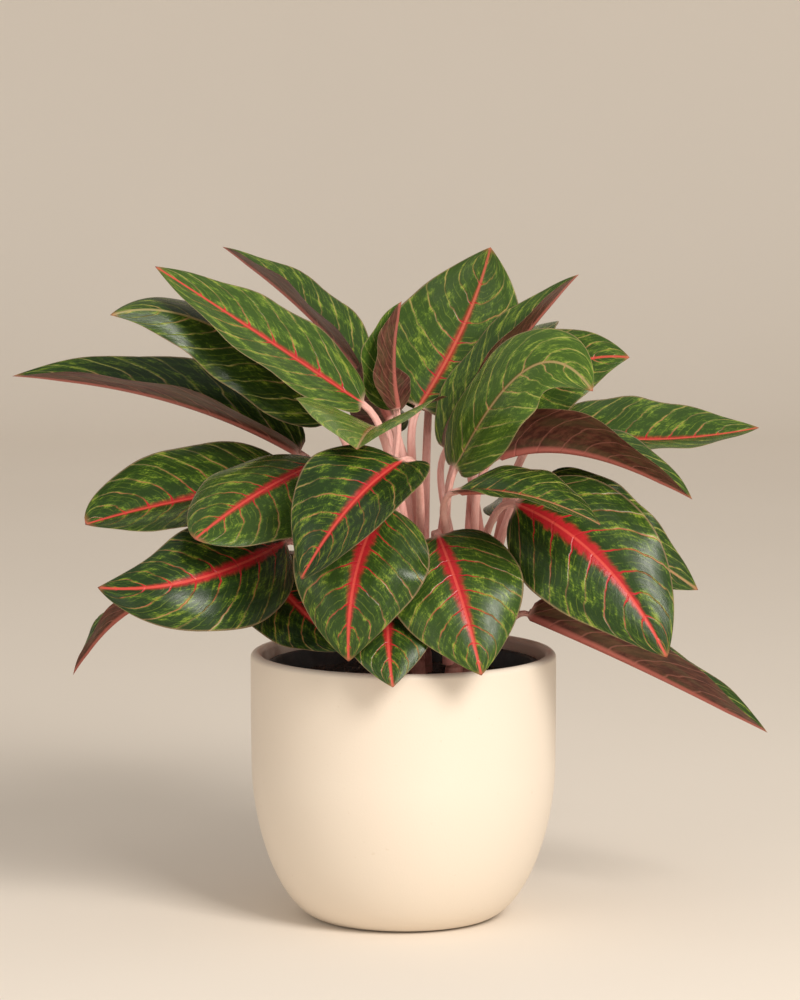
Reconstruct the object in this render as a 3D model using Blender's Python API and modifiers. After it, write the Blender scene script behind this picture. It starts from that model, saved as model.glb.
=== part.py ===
"""Potted Chinese evergreen: a red-veined foliage plant in its black nursery pot, inside a cream
ceramic pot.

The origin is the centre of the ceramic pot's base, +Z is up, and the plant's front faces -Y.
Every leaf is one closed body with its stalk, lofted from the stalk's sheath to the leaf's tip.
"""
import math

import bmesh
import bpy
import numpy as np

MM = 0.001

# Driving dimensions, in millimetres.
POT_HEIGHT = 158.0
POT_RADIUS = 90.0
POT_WALL = 6.6
POT_FLOOR = 10.0
POT_FOOT_RADIUS = 48.0
POT_FLOOR_RADIUS = 53.0
NURSERY_RIM_HEIGHT = 150.6
NURSERY_RIM_RADIUS = 81.0
NURSERY_BASE_RADIUS = 51.0
NURSERY_WALL = 1.3
SOIL_TOP = 143.0
CANE_RADIUS = 5.6
CANE_TOP_RADIUS = 4.6
STALK_START_RADIUS = 3.1
STALK_END_RADIUS = 2.3
BLADE_THICKNESS = 0.8
GAP = 0.3

# How finely the leaves are lofted.
STALK_STATIONS = 6
BLADE_STATIONS = 12

# Canes: the foot (x, y) in the soil, the top (x, y), and the height of the top.
CANES = {
    "cane_front_left": ((8, -14), (5, -18), 206),
    "cane_front_right": ((29, -11), (33, -15), 187),
    "cane_right": ((38, 11), (43, 15), 206),
    "cane_back": ((12, 21), (10, 27), 206),
    "cane_left": ((-7, 3), (-13, 3), 204),
}

# One row for each leaf, in millimetres and degrees: the cane it grows from, how high and at what
# angle around it, where the stalk meets the blade, the middle of the midrib, the tip, the way the
# upper face looks, the blade's width, how far each half folds up at the midrib, and how far each
# half curls to its edge. A pair's first number is the half on the right of someone who looks from
# base to tip with the upper face up. Options: the blade's twist, its lobes beside the stalk, and
# the exponent that makes the tip's side of the outline blunter.
LEAVES = [
    ("leaf_top_left_back", "cane_back", (190, 175), (-24, 62, 317), (-63, 82, 356), (-110, 110, 389),
     (0.55, -0.25, 1.0), 52, (38, 32), (-10, -10), {}),
    ("leaf_top_left_long", "cane_front_left", (196, 145), (-24, -8, 305), (-83, -18, 346),
     (-144, -18, 386), (0.3, -0.8, 0.85), 62, (25, 10), (-15, -20), {}),
    ("leaf_left_hooked", "cane_left", (196, 235), (-43, -2, 296), (-111, -12, 351), (-169, -35, 359),
     (-0.3, -0.9, 0.9), 58, (0, -20), (-22, -30), {}),
    ("leaf_left_reaching", "cane_left", (182, 165), (-61, 5, 275), (-140, 15, 306), (-231, 25, 318),
     (0.1, -0.22, 1.0), 66, (38, 38), (-10, -10), {}),
    ("leaf_left_broad", "cane_left", (172, 205), (-67, -4, 259), (-135, -8, 247), (-185, -25, 236),
     (0.1, -0.8, 0.75), 80, (38, 10), (-15, -25), {"blunt": 0.7}),
    ("leaf_left_folded", "cane_front_left", (182, 190), (-47, -30, 274), (-84, -67, 259),
     (-118, -98, 237), (-0.35, -0.9, 0.4), 78, (8, 0), (-25, -40), {"blunt": 0.7}),
    ("leaf_left_low", "cane_left", (158, 250), (-69, -35, 227), (-121, -87, 212), (-174, -87, 208),
     (-0.1, -1.0, 0.45), 72, (5, 5), (-40, -35), {}),
    ("leaf_left_drooping", "cane_left", (148, 175), (-127, 20, 191), (-164, 0, 181), (-194, -10, 145),
     (-0.3, 0.2, 1.0), 38, (30, 30), (-10, -10), {}),
    ("leaf_left_tucked", "cane_left", (152, 125), (-108, 32, 204), (-143, 26, 198), (-178, 18, 191),
     (-0.2, 0.3, 1.0), 34, (20, 20), (-20, -20), {}),
    ("leaf_left_shaded", "cane_left", (146, 225), (-83, -20, 213), (-60, -40, 189), (-32, -62, 168),
     (-0.2, -0.8, 0.7), 56, (10, 10), (-20, -20), {}),
    ("leaf_front_left", "cane_front_left", (166, 262), (-11, -75, 254), (-27, -105, 218),
     (-31, -110, 169), (-0.1, -1.0, 0.3), 80, (10, 10), (-35, -35), {}),
    ("leaf_front_upper", "cane_front_left", (190, 308), (-1, -104, 282), (-30, -134, 260),
     (-57, -140, 220), (-0.1, -1.0, 0.35), 78, (40, 5), (10, -35), {}),
    ("leaf_front_low", "cane_front_left", (148, 205), (-7, -55, 211), (-9, -90, 187), (-6, -115, 155),
     (0, -1.0, 0.5), 66, (10, 10), (-30, -30), {}),
    ("leaf_front_right", "cane_front_right", (154, 245), (20, -69, 235), (33, -96, 202),
     (44, -110, 161), (0.05, -1.0, 0.4), 80, (8, 8), (-35, -35), {"lobe": 0.16}),
    ("leaf_right_broad", "cane_front_right", (160, -40), (65, -50, 251), (112, -75, 222),
     (150, -90, 168), (-0.05, -1.0, 0.45), 80, (8, 8), (-30, -30), {}),
    ("leaf_right_arched", "cane_front_right", (176, 272), (31, -77, 262), (71, -96, 261),
     (111, -105, 246), (0.15, -0.7, 0.9), 64, (5, 45), (-30, -15), {}),
    ("leaf_right_behind", "cane_right", (176, -45), (83, -8, 261), (126, -13, 229), (173, -6, 195),
     (0.2, -1.0, 0.6), 52, (10, 10), (-20, -20), {}),
    ("leaf_right_low_long", "cane_right", (147, -15), (74, 20, 177), (143, 15, 145), (215, 0, 109),
     (-0.35, 0.1, 1.0), 66, (34, 50), (-10, -10), {"twist": 30}),
    ("leaf_right_small", "cane_right", (156, 35), (61, 28, 206), (74, 38, 204), (86, 45, 197),
     (0.3, 0.9, 0.6), 30, (20, 20), (-10, -10), {}),
    ("leaf_right_long", "cane_right", (190, 10), (89, 5, 287), (148, 10, 282), (210, 20, 288),
     (0.0, -0.85, 0.75), 70, (5, 52), (-25, -15), {}),
    ("leaf_right_raised", "cane_front_right", (178, 8), (55, -33, 277), (104, -52, 281),
     (165, -68, 256), (0.1, 0.1, 1.0), 66, (35, 45), (-10, -10), {"twist": 35}),
    ("leaf_top_right_blunt", "cane_right", (203, 60), (45, 25, 292), (91, 20, 323), (133, 15, 330),
     (0.0, -0.9, 0.7), 66, (10, 15), (-25, -25), {}),
    ("leaf_top_right_arched", "cane_front_right", (183, 215), (30, -48, 272), (72, -62, 331),
     (107, -88, 320), (-0.1, -0.7, 0.9), 66, (10, 12), (-25, -30), {"lobe": 0.12}),
    ("leaf_top_right_folded", "cane_front_right", (194, 0), (25, 3, 277), (64, 9, 335),
     (103, 14, 379), (-0.82, -0.25, 0.6), 64, (30, 40), (-10, -10), {}),
    ("leaf_top_broad", "cane_back", (207, 0), (9, 40, 298), (36, 60, 345), (52, 60, 392),
     (-0.2, -1.0, 0.3), 88, (10, 10), (-25, -25), {}),
    ("leaf_top_rolled", "cane_left", (205, 0), (-4, 18, 299), (-6, 22, 331), (-1, 29, 362),
     (-0.7, -0.5, 0.2), 40, (60, 60), (20, 20), {}),
    ("leaf_centre_young", "cane_front_left", (207, 0), (-14, -25, 292), (-20, -75, 296),
     (-26, -125, 291), (0, -0.1, 1.0), 96, (30, 26), (-8, -8), {}),
    ("leaf_centre_turned", "cane_back", (198, 230), (-8, 32, 292), (-17, 41, 311), (-20, 49, 330),
     (0.2, 1.0, 0.3), 44, (15, 15), (-20, -20), {}),
    ("leaf_back_right_upper", "cane_back", (178, 30), (40, 55, 283), (68, 95, 297), (88, 150, 272),
     (0, 0.5, 1.0), 60, (20, 20), (-25, -25), {}),
    ("leaf_back_upright", "cane_back", (184, 80), (15, 60, 294), (19, 110, 329), (23, 180, 323),
     (0, 0.3, 1.0), 64, (20, 20), (-25, -25), {}),
    ("leaf_back_left_upper", "cane_back", (172, 125), (-6, 68, 280), (-38, 108, 303),
     (-64, 160, 294), (0, 0.5, 1.0), 60, (20, 20), (-25, -25), {}),
    ("leaf_back_left", "cane_left", (176, 110), (-38, 45, 248), (-72, 90, 252), (-101, 140, 230),
     (-0.1, 0.5, 1.0), 56, (20, 20), (-25, -25), {}),
    ("leaf_back_right", "cane_right", (174, 85), (56, 58, 230), (94, 96, 236), (131, 130, 213),
     (0.3, 0.5, 1.0), 56, (20, 20), (-25, -25), {}),
    ("leaf_back_right_low", "cane_right", (150, 110), (34, 45, 200), (71, 100, 192), (107, 140, 168),
     (0.2, 0.6, 1.0), 60, (20, 20), (-25, -25), {}),
    ("leaf_back_left_low", "cane_back", (158, 170), (-23, 50, 205), (-45, 95, 199), (-67, 145, 177),
     (-0.2, 0.6, 1.0), 60, (20, 20), (-25, -25), {}),
    ("leaf_back_low", "cane_back", (148, 100), (4, 55, 192), (-2, 110, 188), (-8, 170, 164),
     (0, 0.5, 1.0), 60, (20, 20), (-25, -25), {}),
    ("leaf_back_top", "cane_right", (194, 125), (52, 60, 312), (68, 95, 337), (78, 150, 326),
     (0, 0.4, 1.0), 56, (20, 20), (-25, -25), {}),
]


def unit(vector):
    """The vector at length one."""
    vector = np.asarray(vector, float)
    return vector / np.linalg.norm(vector)


def bezier(points, count):
    """Points along a Bezier curve, evenly spaced by length."""
    steps = np.linspace(0, 1, 120)[:, None]
    degree = len(points) - 1
    line = np.zeros((120, 3))
    for index, point in enumerate(points):
        weight = math.comb(degree, index) * (1 - steps) ** (degree - index) * steps ** index
        line += weight * np.asarray(point, float)
    lengths = np.linalg.norm(np.diff(line, axis=0), axis=1)
    along = np.concatenate([[0], np.cumsum(lengths)])
    wanted = np.linspace(0, along[-1], count)
    return np.stack([np.interp(wanted, along, line[:, axis]) for axis in range(3)], axis=1)


def carry_normals(line, seed_index, seed_normal):
    """The tangents along a line, and a normal carried along it without spin."""
    tangents = np.gradient(line, axis=0)
    tangents /= np.linalg.norm(tangents, axis=1)[:, None]
    normals = np.zeros_like(tangents)
    seed = np.asarray(seed_normal, float)
    normals[seed_index] = unit(seed - seed.dot(tangents[seed_index]) * tangents[seed_index])
    forward = [(index, index - 1) for index in range(seed_index + 1, len(line))]
    backward = [(index, index + 1) for index in range(seed_index - 1, -1, -1)]
    for index, previous in forward + backward:
        axis = np.cross(tangents[previous], tangents[index])
        sine = np.linalg.norm(axis)
        normal = normals[previous]
        if sine > 1e-9:
            axis = axis / sine
            cosine = tangents[previous].dot(tangents[index])
            normal = (normal * cosine + np.cross(axis, normal) * sine
                      + axis * axis.dot(normal) * (1 - cosine))
        normals[index] = unit(normal - normal.dot(tangents[index]) * tangents[index])
    return tangents, normals


def cane_point(cane, height):
    """The middle of a cane at a height."""
    foot, top, top_height = CANES[cane]
    share = (height - SOIL_TOP) / (top_height - SOIL_TOP)
    x = foot[0] + (top[0] - foot[0]) * share
    y = foot[1] + (top[1] - foot[1]) * share
    return np.array([x, y, height], float)


def stalk_lean(start, blade_base):
    """The way a stalk sets off from its cane: steeply up, leaning to its leaf."""
    sideways = np.asarray(blade_base, float)[:2] - start[:2]
    rise = max(2.2 * (blade_base[2] - start[2]), 1.5 * np.linalg.norm(sideways))
    return unit([sideways[0], sideways[1], rise])


def stalk_start(cane, height, blade_base, around):
    """Where a stalk starts: beside its cane at an angle around it, or on the cane's top."""
    foot, top, top_height = CANES[cane]
    if height > top_height:
        return np.array([top[0], top[1], top_height + 4 * GAP], float)
    middle = cane_point(cane, height)
    share = (height - SOIL_TOP) / (top_height - SOIL_TOP)
    lean = stalk_lean(middle, blade_base)
    reach = CANE_RADIUS + (CANE_TOP_RADIUS - CANE_RADIUS) * share
    reach += STALK_START_RADIUS * (0.6 + 0.4 * lean[2]) + GAP
    angle = math.radians(around)
    middle[:2] += np.array([math.cos(angle), math.sin(angle)]) * reach
    return middle


def half_outline(share, blunt):
    """The blade's half width along its midrib, as a share of the widest."""
    rise = 0.55
    share = np.clip(share, 1e-6, 1 - 1e-9)
    widest = rise / (rise + blunt)
    return (share / widest) ** rise * ((1 - share) / (1 - widest)) ** blunt


def bend_half(width, fold, curl):
    """How far out and how far up a half blade's point lies, at a width along its surface."""
    start = math.radians(fold)
    turn = math.radians(curl)
    if abs(turn) < 1e-4:
        return width * math.cos(start), width * math.sin(start)
    out = width / turn * (math.sin(start + turn) - math.sin(start))
    up = -width / turn * (math.cos(start + turn) - math.cos(start))
    return out, up


def leaf_loops(row):
    """The leaf's loops of eight points, from the stalk's start to just before the tip."""
    name, cane, (height, around), base, middle, tip, face, width, fold, curl, extra = row
    base, middle, tip = [np.asarray(point, float) for point in (base, middle, tip)]
    start = stalk_start(cane, height, base, around)
    pull = 2 * middle - (base + tip) / 2
    into_blade = unit(pull - base)
    reach = np.linalg.norm(base - start)
    lean = stalk_lean(start, base)
    stalk = bezier([start, start + lean * 0.45 * reach, base - into_blade * 0.22 * reach, base],
                   STALK_STATIONS)
    blade = bezier([base, pull, tip], BLADE_STATIONS + 1)
    line = np.concatenate([stalk[:-1], blade])
    first = len(stalk) - 1
    tangents, normals = carry_normals(line, first + BLADE_STATIONS // 2, face)
    length = np.linalg.norm(np.diff(blade, axis=0), axis=1).sum()
    loops = []
    for index in range(len(line) - 1):
        along = (index - first) / BLADE_STATIONS
        tangent, normal = tangents[index], normals[index]
        side = np.cross(tangent, normal)
        if along <= 0:
            share = index / first
            radius = STALK_START_RADIUS + (STALK_END_RADIUS - STALK_START_RADIUS) * share
            angles = [math.radians(180 - 45 * step) for step in range(8)]
            flat = radius * (1 - 0.2 * share)
            loops.append([line[index] + side * radius * math.cos(angle)
                          + normal * flat * math.sin(angle) for angle in angles])
            continue
        turn = math.radians(extra.get("twist", 0)) * (along - 0.5)
        face_way = normal * math.cos(turn) + side * math.sin(turn)
        side_way = side * math.cos(turn) - normal * math.sin(turn)
        shape = half_outline(along, extra.get("blunt", 0.95))
        half = max(width / 2 * shape, 0.6)
        rib = STALK_END_RADIUS * 1.6 * (1 - along) + 0.9 * along
        skin = BLADE_THICKNESS * min(1, 3 * (1 - along) + 0.4)
        sweep = extra.get("lobe", 0.05) * length * shape * max(0, 1 - 3 * along) ** 2

        def surface(across, depth):
            part = 1 if across >= 0 else 0
            out, up = bend_half(half * abs(across), fold[part], curl[part] * abs(across))
            point = line[index] + side_way * math.copysign(out, across) + face_way * up
            point = point - tangent * sweep * abs(across) ** 1.5
            return point - face_way * depth

        loops.append([surface(-1, 0), surface(-0.5, 0), surface(0, 0), surface(0.5, 0),
                      surface(1, 0), surface(0.5, skin), surface(0, rib), surface(-0.5, skin)])
    return loops, tip


def leaf_mesh(row):
    """A closed mesh of a leaf with its stalk."""
    loops, tip = leaf_loops(row)
    mesh = bmesh.new()
    rings = [[mesh.verts.new(point * MM) for point in loop] for loop in loops]
    end = mesh.verts.new(tip * MM)
    mesh.faces.new(rings[0])
    for lower, upper in zip(rings, rings[1:]):
        for step in range(8):
            after = (step + 1) % 8
            mesh.faces.new([lower[step], upper[step], upper[after], lower[after]])
    for step in range(8):
        mesh.faces.new([rings[-1][step], end, rings[-1][(step + 1) % 8]])
    bmesh.ops.triangulate(mesh, faces=mesh.faces[:])
    bmesh.ops.recalc_face_normals(mesh, faces=mesh.faces[:])
    data = bpy.data.meshes.new(row[0])
    mesh.to_mesh(data)
    mesh.free()
    return data


def make_material(name, color, roughness, metallic=0.0):
    """A plain material of one colour."""
    material = bpy.data.materials.new(name)
    material.use_nodes = True
    shader = material.node_tree.nodes["Principled BSDF"]
    shader.inputs["Base Color"].default_value = (*color, 1.0)
    shader.inputs["Roughness"].default_value = roughness
    shader.inputs["Metallic"].default_value = metallic
    return material


def add_object(name, data, material):
    """An object of the plant's collection, with its one material."""
    data.materials.append(material)
    thing = bpy.data.objects.new(name, data)
    parts.objects.link(thing)
    return thing


def turned(name, profile, material, steps):
    """A body turned from a profile that runs from the axis, round the outside, to the axis."""
    data = bpy.data.meshes.new(name)
    points = [(radius * MM, 0, height * MM) for radius, height in profile]
    edges = [(index, index + 1) for index in range(len(points) - 1)]
    data.from_pydata(points, edges, [])
    thing = add_object(name, data, material)
    screw = thing.modifiers.new("turn", "SCREW")
    screw.steps = steps
    screw.render_steps = steps
    screw.use_merge_vertices = True
    screw.merge_threshold = 0.00001
    screw.use_smooth_shade = True
    return thing


def pot_outside(height):
    """The ceramic pot's outer radius at a height: nearly straight, then round to the foot."""
    upper = 90.0
    taper_start = 34.0
    taper = 1.2 * max(0, POT_HEIGHT - height - taper_start) / (POT_HEIGHT - taper_start)
    if height >= upper:
        return POT_RADIUS - taper
    fall = ((upper - height) / upper) ** 1.85
    round_part = (POT_RADIUS - POT_FOOT_RADIUS) * (1 - fall) ** (1 / 1.85)
    return POT_FOOT_RADIUS + round_part - taper * (1 - fall)


def ceramic_pot():
    """The cream pot: a rounded lip, a nearly straight wall, a round bottom and a flat foot."""
    profile = [(0, POT_FLOOR), (POT_FLOOR_RADIUS, POT_FLOOR)]
    for height in (14, 22, 34, 50, 75, 110, POT_HEIGHT - 6):
        profile.append((pot_outside(height) - POT_WALL, height))
    lip_radius = POT_WALL / 2
    lip_middle = POT_RADIUS - lip_radius
    for step in range(7):
        angle = math.radians(180 - 30 * step)
        profile.append((lip_middle + lip_radius * math.cos(angle),
                        POT_HEIGHT - lip_radius + lip_radius * math.sin(angle)))
    for height in (120, 90, 74, 60, 47, 36, 26, 18, 11, 6, 2.5):
        profile.append((pot_outside(height), height))
    profile += [(POT_FOOT_RADIUS, 0), (0, 0)]
    return turned("ceramic_pot", profile, cream, 56)


def nursery_outside(height):
    """The nursery pot's outer radius at a height."""
    base = POT_FLOOR + GAP
    share = (height - base) / (NURSERY_RIM_HEIGHT - base)
    return NURSERY_BASE_RADIUS + (NURSERY_RIM_RADIUS - 1.6 - NURSERY_BASE_RADIUS) * share


def nursery_pot():
    """The thin black pot that the plant grows in, with a turned-out rim and drain holes."""
    base = POT_FLOOR + GAP
    inside = base + NURSERY_WALL
    rim_low = NURSERY_RIM_HEIGHT - 9
    profile = [(0, inside), (nursery_outside(inside) - NURSERY_WALL, inside)]
    profile.append((nursery_outside(NURSERY_RIM_HEIGHT) - NURSERY_WALL, NURSERY_RIM_HEIGHT - 1))
    profile.append((nursery_outside(NURSERY_RIM_HEIGHT) - NURSERY_WALL + 0.6, NURSERY_RIM_HEIGHT))
    profile.append((NURSERY_RIM_RADIUS - 0.5, NURSERY_RIM_HEIGHT))
    profile.append((NURSERY_RIM_RADIUS, NURSERY_RIM_HEIGHT - 0.6))
    profile.append((NURSERY_RIM_RADIUS, rim_low))
    profile.append((nursery_outside(rim_low), rim_low))
    profile.append((nursery_outside(base + 2), base + 2))
    profile.append((nursery_outside(base) - 1.5, base))
    profile.append((0, base))
    pot = turned("nursery_pot", profile, black, 48)
    for index in range(4):
        angle = math.radians(45 + 90 * index)
        hole = bmesh.new()
        bmesh.ops.create_cone(hole, cap_ends=True, segments=16, radius1=5 * MM, radius2=5 * MM,
                              depth=8 * MM)
        data = bpy.data.meshes.new(f"drain_{index}")
        hole.to_mesh(data)
        hole.free()
        cutter = bpy.data.objects.new(f"drain_{index}", data)
        cutter.location = (34 * MM * math.cos(angle), 34 * MM * math.sin(angle), base * MM)
        cutter.hide_render = True
        cutter.display_type = "WIRE"
        cutters.objects.link(cutter)
        cut = pot.modifiers.new(f"drain_{index}", "BOOLEAN")
        cut.object = cutter
        cut.operation = "DIFFERENCE"
    return pot


def soil():
    """The potting soil that fills the nursery pot."""
    low = POT_FLOOR + GAP + NURSERY_WALL + GAP
    clearance = NURSERY_WALL + GAP
    profile = [(0, SOIL_TOP - GAP), (nursery_outside(SOIL_TOP) - clearance - 1, SOIL_TOP - GAP)]
    profile.append((nursery_outside(SOIL_TOP - 2) - clearance, SOIL_TOP - 2))
    profile.append((nursery_outside(low) - clearance, low))
    profile.append((0, low))
    return turned("soil", profile, earth, 48)


def cane(name):
    """A short ringed cane, standing on the soil's top."""
    foot, top, top_height = CANES[name]
    start = np.array([foot[0], foot[1], SOIL_TOP], float)
    end = np.array([top[0], top[1], top_height], float)
    mesh = bmesh.new()
    rings = []
    for share in np.linspace(0, 1, 6):
        middle = start + (end - start) * share
        radius = CANE_RADIUS + (CANE_TOP_RADIUS - CANE_RADIUS) * share
        ring = []
        for step in range(12):
            angle = math.radians(30 * step)
            point = middle + radius * np.array([math.cos(angle), math.sin(angle), 0])
            ring.append(mesh.verts.new(point * MM))
        rings.append(ring)
    for lower, upper in zip(rings, rings[1:]):
        for step in range(12):
            after = (step + 1) % 12
            mesh.faces.new([lower[step], lower[after], upper[after], upper[step]])
    mesh.faces.new(rings[0])
    mesh.faces.new(rings[-1])
    bmesh.ops.triangulate(mesh, faces=mesh.faces[:])
    bmesh.ops.recalc_face_normals(mesh, faces=mesh.faces[:])
    data = bpy.data.meshes.new(name)
    mesh.to_mesh(data)
    mesh.free()
    return add_object(name, data, stem)


for old in list(bpy.data.objects):
    bpy.data.objects.remove(old, do_unlink=True)
parts = bpy.data.collections.new("potted_chinese_evergreen")
cutters = bpy.data.collections.new("cutters")
bpy.context.scene.collection.children.link(parts)
bpy.context.scene.collection.children.link(cutters)

cream = make_material("cream_ceramic", (0.80, 0.70, 0.55), 0.55)
black = make_material("black_plastic", (0.02, 0.02, 0.02), 0.5)
earth = make_material("dark_soil", (0.03, 0.02, 0.015), 0.95)
stem = make_material("pink_cane", (0.42, 0.17, 0.13), 0.5)
green = make_material("leaf_green", (0.07, 0.14, 0.04), 0.35)

ceramic_pot()
nursery_pot()
soil()
for cane_name in CANES:
    cane(cane_name)
for leaf_row in LEAVES:
    leaf = add_object(leaf_row[0], leaf_mesh(leaf_row), green)
    leaf.data.shade_smooth()
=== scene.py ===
"""Looks for the potted Chinese evergreen: leaves with red and pale veins, canes, soil and pots.

Everything is in metres in the frame's own axes, +Z up, with the plant's front facing -Y. Lengths
in the leaf table are in millimetres, as in the solid model, and the leaves here are the same
leaves with a finer surface.
"""
import math

import bmesh
import bpy
import numpy as np
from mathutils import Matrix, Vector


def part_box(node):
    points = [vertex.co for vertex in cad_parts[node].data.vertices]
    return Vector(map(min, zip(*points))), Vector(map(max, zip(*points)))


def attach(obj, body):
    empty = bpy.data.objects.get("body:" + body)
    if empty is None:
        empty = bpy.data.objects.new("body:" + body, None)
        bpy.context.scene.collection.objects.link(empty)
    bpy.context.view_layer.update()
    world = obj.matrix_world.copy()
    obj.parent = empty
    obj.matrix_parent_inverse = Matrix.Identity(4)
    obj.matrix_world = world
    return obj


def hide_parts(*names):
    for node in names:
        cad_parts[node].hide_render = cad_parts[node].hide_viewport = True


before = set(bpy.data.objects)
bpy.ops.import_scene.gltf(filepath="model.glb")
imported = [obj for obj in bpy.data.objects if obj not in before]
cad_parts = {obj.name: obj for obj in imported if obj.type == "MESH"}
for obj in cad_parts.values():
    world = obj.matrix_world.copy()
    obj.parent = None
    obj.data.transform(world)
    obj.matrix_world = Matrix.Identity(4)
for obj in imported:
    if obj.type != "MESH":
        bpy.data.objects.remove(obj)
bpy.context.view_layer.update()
MM = 0.001
scene = bpy.context.scene


# ---------------------------------------------------------------- helpers for pieces and nodes
def unit(vector):
    """The vector at length one."""
    vector = np.asarray(vector, float)
    return vector / np.linalg.norm(vector)


def smooth_step(low, high, value):
    """0 below low, 1 above high, smooth between."""
    share = np.clip((value - low) / (high - low), 0, 1)
    return share * share * (3 - 2 * share)


def piece_from_grid(name, rings, caps, nodes, material, attributes=None):
    """A closed piece from equal loops of points, with its ends filled, riding on the root body."""
    count = len(rings[0])
    points = np.concatenate(rings)
    faces = []
    for ring in range(len(rings) - 1):
        low, high = ring * count, (ring + 1) * count
        for step in range(count):
            after = (step + 1) % count
            faces.append((low + step, high + step, high + after, low + after))
    if caps:
        faces.append(tuple(range(count)))
        faces.append(tuple(range(len(points) - 1, len(points) - count - 1, -1)))
    data = bpy.data.meshes.new(name)
    data.from_pydata(points.tolist(), [], faces)
    for label, values in (attributes or {}).items():
        data.attributes.new(label, "FLOAT", "POINT").data.foreach_set("value", values)
    mesh = bmesh.new()
    mesh.from_mesh(data)
    bmesh.ops.remove_doubles(mesh, verts=mesh.verts[:], dist=0.000002)
    bmesh.ops.recalc_face_normals(mesh, faces=mesh.faces[:])
    mesh.to_mesh(data)
    mesh.free()
    data.shade_smooth()
    data.materials.append(material)
    piece = bpy.data.objects.new(name, data)
    scene.collection.objects.link(piece)
    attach(piece, "root")
    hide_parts(*nodes)
    return piece


class Nodes:
    """A short way to write a material's nodes."""

    def __init__(self, name):
        self.material = bpy.data.materials.new(name)
        self.material.use_nodes = True
        self.tree = self.material.node_tree
        self.shader = self.tree.nodes["Principled BSDF"]

    def put(self, socket, value):
        """Sets a socket to a number or a colour, or links a socket to it."""
        if isinstance(value, bpy.types.NodeSocket):
            self.tree.links.new(value, socket)
        elif isinstance(value, (tuple, list)) and len(value) == 3 and socket.type == "RGBA":
            socket.default_value = (*value, 1.0)
        else:
            socket.default_value = value

    def attribute(self, name):
        """A point's own number."""
        node = self.tree.nodes.new("ShaderNodeAttribute")
        node.attribute_name = name
        return node.outputs["Fac"]

    def place(self, scale=(1, 1, 1)):
        """The point's place on the object, scaled."""
        where = self.tree.nodes.new("ShaderNodeTexCoord")
        node = self.tree.nodes.new("ShaderNodeMapping")
        self.put(node.inputs["Vector"], where.outputs["Object"])
        node.inputs["Scale"].default_value = scale
        return node.outputs["Vector"]

    def join(self, x, y, z):
        """A vector from three numbers."""
        node = self.tree.nodes.new("ShaderNodeCombineXYZ")
        for socket, value in zip(node.inputs, (x, y, z)):
            self.put(socket, value)
        return node.outputs["Vector"]

    def math(self, operation, first, second=0.0, third=0.0, clamp=False):
        """One sum, product or other operation."""
        node = self.tree.nodes.new("ShaderNodeMath")
        node.operation = operation
        node.use_clamp = clamp
        for socket, value in zip(node.inputs, (first, second, third)):
            self.put(socket, value)
        return node.outputs["Value"]

    def noise(self, vector, scale, detail=3.0, roughness=0.5):
        """Soft random variation from 0 to 1."""
        node = self.tree.nodes.new("ShaderNodeTexNoise")
        self.put(node.inputs["Vector"], vector)
        node.inputs["Scale"].default_value = scale
        node.inputs["Detail"].default_value = detail
        node.inputs["Roughness"].default_value = roughness
        return node.outputs["Fac"]

    def step(self, value, low, high, to_low=0.0, to_high=1.0):
        """A smooth step, from to_low at low to to_high at high."""
        node = self.tree.nodes.new("ShaderNodeMapRange")
        node.interpolation_type = "SMOOTHSTEP"
        self.put(node.inputs["Value"], value)
        self.put(node.inputs["From Min"], low)
        self.put(node.inputs["From Max"], high)
        node.inputs["To Min"].default_value = to_low
        node.inputs["To Max"].default_value = to_high
        return node.outputs["Result"]

    def mix(self, share, first, second):
        """One colour at share 0, the other at share 1."""
        node = self.tree.nodes.new("ShaderNodeMix")
        node.data_type = "RGBA"
        self.put(node.inputs["Factor"], share)
        self.put(node.inputs["A"], first)
        self.put(node.inputs["B"], second)
        return node.outputs["Result"]

    def bump(self, height, strength, distance):
        """A normal from a height."""
        node = self.tree.nodes.new("ShaderNodeBump")
        self.put(node.inputs["Height"], height)
        node.inputs["Strength"].default_value = strength
        node.inputs["Distance"].default_value = distance
        self.put(self.shader.inputs["Normal"], node.outputs["Normal"])

    def finish(self, color, roughness, **more):
        """Sets the shader's colour and roughness, and any other input by name."""
        self.put(self.shader.inputs["Base Color"], color)
        self.put(self.shader.inputs["Roughness"], roughness)
        for name, value in more.items():
            self.put(self.shader.inputs[name.replace("_", " ")], value)
        return self.material


# ---------------------------------------------------------------- leaf material
# One material for every leaf. It reads numbers that each leaf's points carry: how far along the
# blade (below 0 on the stalk), how far across from the midrib, 1 on the underside, the half width
# in millimetres, and the leaf's own tone, redness and seed, which sets its patches.
VEIN_COUNT = 27.0
VEIN_BOW = 1.35
VEIN_SLANT = 0.26
leaf_nodes = Nodes("veined_leaf")
along = leaf_nodes.attribute("along")
across = leaf_nodes.attribute("across")
under = leaf_nodes.attribute("under")
tone = leaf_nodes.attribute("tone")
red = leaf_nodes.attribute("red")
seed = leaf_nodes.attribute("seed")
half_mm = leaf_nodes.attribute("half")
spread = leaf_nodes.math("ABSOLUTE", across)
side_shift = leaf_nodes.math("MULTIPLY", leaf_nodes.math("SIGN", across), 0.37)
shift = leaf_nodes.math("ADD", seed, side_shift)
leaf_place = leaf_nodes.join(along, spread, shift)
warp = leaf_nodes.noise(leaf_place, 3.5, 2.0)
bowed = leaf_nodes.math("POWER", spread, VEIN_BOW)
vein_line = leaf_nodes.math("SUBTRACT", along, leaf_nodes.math("MULTIPLY", bowed, VEIN_SLANT))
vein_line = leaf_nodes.math("ADD", vein_line, leaf_nodes.math("MULTIPLY", warp, 0.055))
flow = leaf_nodes.join(vein_line, leaf_nodes.math("MULTIPLY", spread, 0.16), shift)


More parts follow.
